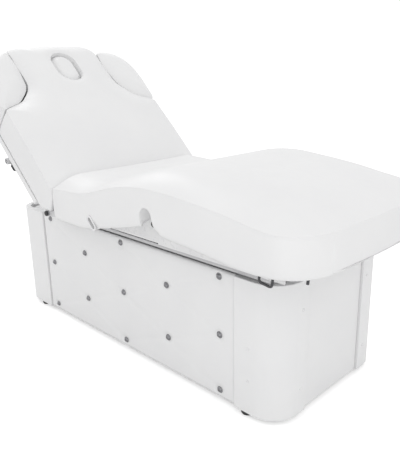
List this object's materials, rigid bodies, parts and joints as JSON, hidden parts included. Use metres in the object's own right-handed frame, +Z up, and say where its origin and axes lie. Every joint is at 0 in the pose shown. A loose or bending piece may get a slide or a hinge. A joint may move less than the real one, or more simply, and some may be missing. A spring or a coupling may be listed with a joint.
{
  "type": "facial treatment bed",
  "caption": "Padded treatment couch with tilting back, face hole plug, arm cushions and folding knee section on a studded lifting pedestal.",
  "frame": {"origin": "on the floor, at the middle of the whole bed's plan box", "axes": "+X towards the foot end, +Y towards the left side of a person lying on it, +Z up"},
  "size_m": [1.7542, 0.774, 1.1021],
  "materials": {
    "upholstery": "white soft vinyl, satin",
    "panel_vinyl": "white vinyl over board, satin",
    "stud_chrome": "polished",
    "frame_steel": "white powder coat",
    "dark_steel": "dark grey powder coat",
    "rail_steel": "light grey powder coat",
    "bright_steel": "zinc plated",
    "column_aluminium": "anodised satin",
    "black_plastic": "moulded",
    "housing_plastic": "moulded grey",
    "white_plastic": "moulded white",
    "rubber": "moulded"
  },
  "bodies": {
    "base": {"side_panel_left": "panel_vinyl", "side_panel_right": "panel_vinyl", "foot_panel": "panel_vinyl", "head_panel": "panel_vinyl", "corner_posts": "panel_vinyl", "button_studs": "stud_chrome", "post_screw_caps": "white_plastic", "floor_glides": "rubber", "rim_shelf": "white_plastic", "long_tubes": "frame_steel", "cross_tubes": "frame_steel", "frame_uprights": "frame_steel", "column_outer_tubes": "column_aluminium", "control_box": "black_plastic", "mains_inlet": "black_plastic"},
    "mid_stage": {"column_middle_tubes": "column_aluminium"},
    "carriage": {"column_inner_tubes": "column_aluminium", "column_top_plates": "frame_steel", "lift_beams": "frame_steel", "crossbars": "frame_steel", "side_rails": "rail_steel", "hinge_brackets": "frame_steel", "back_hinge_shaft": "bright_steel", "shaft_end_caps": "black_plastic", "shaft_side_links": "rail_steel", "thigh_hinge_pins": "bright_steel", "seat_board": "panel_vinyl", "seat_cushion": "upholstery", "back_actuator": "housing_plastic", "leg_actuator": "housing_plastic", "strut_pins": "bright_steel"},
    "back": {"back_board": "panel_vinyl", "back_cushion": "upholstery", "back_hinge_arms": "frame_steel", "back_levers": "frame_steel", "armrest_sockets": "frame_steel", "arm_guide_tubes": "frame_steel"},
    "back_drive_rod": {"back_rod": "bright_steel"},
    "leg_drive_rod": {"leg_rod": "bright_steel"},
    "thigh": {"thigh_board": "panel_vinyl", "thigh_skirts": "white_plastic", "thigh_cushion": "upholstery", "thigh_frame": "frame_steel", "side_sockets": "white_plastic", "knee_shaft": "bright_steel", "knee_shaft_caps": "black_plastic"},
    "leg": {"leg_board": "panel_vinyl", "leg_skirts": "white_plastic", "leg_cushion": "upholstery", "leg_frame": "frame_steel", "towel_loops": "dark_steel", "foot_pegs": "dark_steel"},
    "struts": {"leg_struts": "frame_steel"},
    "plug": {"face_plug": "upholstery"},
    "arm_left": {"arm_cushion_left": "upholstery"},
    "arm_right": {"arm_cushion_right": "upholstery"},
    "knob_left": {"clamp_knob_left": "black_plastic"},
    "knob_right": {"clamp_knob_right": "black_plastic"}
  },
  "joints": [
    {"name": "lift", "type": "slide", "parent": "base", "child": "carriage", "axis": [0, 0, 1], "range_m": [0, 0.24]},
    {"name": "mid_lift", "type": "slide", "parent": "base", "child": "mid_stage", "axis": [0, 0, 1], "range_m": [0, 0.12]},
    {"name": "back_tilt", "type": "hinge", "parent": "carriage", "child": "back", "pos_m": [-0.2703, 0, 0.481], "axis": [0, 1, 0], "range_deg": [-43, 7]},
    {"name": "back_drive", "type": "slide", "parent": "carriage", "child": "back_drive_rod", "axis": [-1, 0, 0], "range_m": [-0.0789, 0.0129]},
    {"name": "knee_lift", "type": "hinge", "parent": "carriage", "child": "thigh", "pos_m": [-0.0223, 0, 0.467], "axis": [0, -1, 0], "range_deg": [-13.5, 7]},
    {"name": "leg_drive", "type": "slide", "parent": "carriage", "child": "leg_drive_rod", "axis": [1, 0, 0], "range_m": [-0.0205, 0.0107]},
    {"name": "leg_fold", "type": "hinge", "parent": "thigh", "child": "leg", "pos_m": [0.33553, 0, 0.55291], "axis": [0, -1, 0], "range_deg": [-10.7, 20.6]},
    {"name": "strut_swing", "type": "hinge", "parent": "carriage", "child": "struts", "pos_m": [0.4985, 0, 0.4132], "axis": [0, -1, 0], "range_deg": [-20.8, 10.8]},
    {"name": "plug_lift", "type": "slide", "parent": "back", "child": "plug", "axis": [0.682, 0, 0.7314], "range_m": [0, 0.14]},
    {"name": "arm_slide_left", "type": "slide", "parent": "back", "child": "arm_left", "axis": [0, 1, 0], "range_m": [0, 0.12]},
    {"name": "arm_slide_right", "type": "slide", "parent": "back", "child": "arm_right", "axis": [0, -1, 0], "range_m": [0, 0.12]},
    {"name": "knob_turn_left", "type": "hinge", "parent": "back", "child": "knob_left", "pos_m": [-0.53794, 0.345, 0.64854], "axis": [0.7314, 0, -0.682], "continuous": true},
    {"name": "knob_turn_right", "type": "hinge", "parent": "back", "child": "knob_right", "pos_m": [-0.53794, -0.345, 0.64854], "axis": [0.7314, 0, -0.682], "continuous": true}
  ],
  "couplings": [
    {"joint": "mid_lift", "follows": "lift", "ratio": 0.5},
    {"joint": "back_drive", "follows": "back_tilt", "m_per_rad": 0.105},
    {"joint": "leg_drive", "follows": "knee_lift", "m_per_rad": 0.0869},
    {"joint": "leg_fold", "follows": "knee_lift", "ratio": -1.5185},
    {"joint": "strut_swing", "follows": "knee_lift", "ratio": 1.538}
  ]
}
